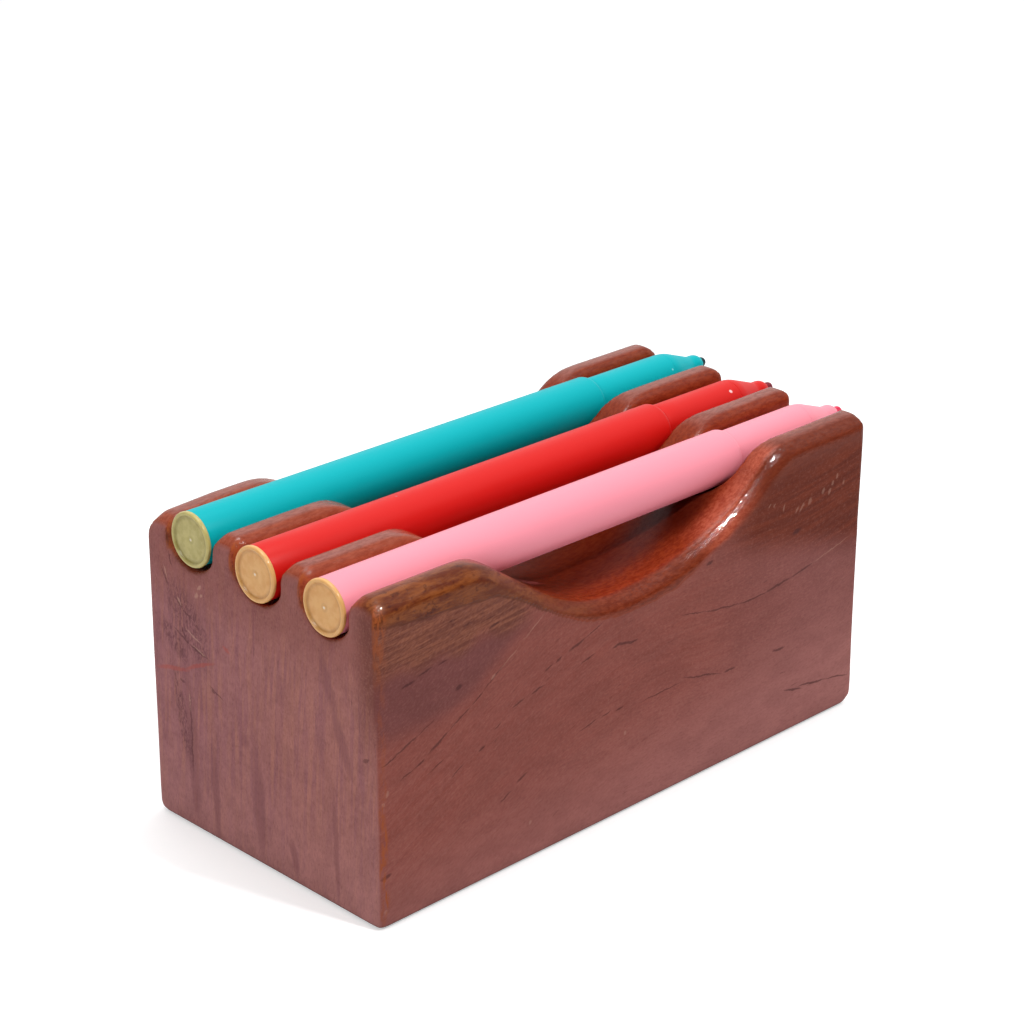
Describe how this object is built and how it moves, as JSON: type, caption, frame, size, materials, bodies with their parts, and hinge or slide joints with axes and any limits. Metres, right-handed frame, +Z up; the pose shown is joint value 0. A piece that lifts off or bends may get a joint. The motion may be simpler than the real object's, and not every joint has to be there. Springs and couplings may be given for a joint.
{
  "type": "pen rest",
  "caption": "Hardwood desk rest with round-bottomed grooves and a finger scoop across them, with a matched set of uncapped felt-tip pens that lift out.",
  "frame": {"origin": "centre of the block's underside", "axes": "+X along the grooves from the pens' butts to their tips, +Y towards the teal pen's side, +Z up"},
  "size_m": [0.1348, 0.0614, 0.0638],
  "materials": {
    "hardwood": "oiled sides, glossy varnish on the grooves and edges",
    "teal_plastic": "satin gloss",
    "red_plastic": "satin gloss",
    "pink_plastic": "satin gloss",
    "plug_gold": "satin",
    "plug_green_gold": "satin, scuffed",
    "teal_fibre": "wet fibre",
    "red_fibre": "wet fibre",
    "pink_fibre": "wet fibre"
  },
  "bodies": {
    "rest": {"wooden_block": "hardwood"},
    "teal_pen": {"teal_barrel": "teal_plastic", "teal_end_plug": "plug_green_gold", "teal_nose_cone": "teal_plastic", "teal_nib": "teal_fibre", "teal_ink_reservoir": "teal_fibre"},
    "red_pen": {"red_barrel": "red_plastic", "red_end_plug": "plug_gold", "red_nose_cone": "red_plastic", "red_nib": "red_fibre", "red_ink_reservoir": "red_fibre"},
    "pink_pen": {"pink_barrel": "pink_plastic", "pink_end_plug": "plug_gold", "pink_nose_cone": "pink_plastic", "pink_nib": "pink_fibre", "pink_ink_reservoir": "pink_fibre"}
  },
  "joints": [
    {"name": "teal_pen_lift", "type": "slide", "parent": "rest", "child": "teal_pen", "axis": [0, 0, 1], "range_m": [0, 0.03]},
    {"name": "red_pen_lift", "type": "slide", "parent": "rest", "child": "red_pen", "axis": [0, 0, 1], "range_m": [0, 0.03]},
    {"name": "pink_pen_lift", "type": "slide", "parent": "rest", "child": "pink_pen", "axis": [0, 0, 1], "range_m": [0, 0.03]}
  ]
}
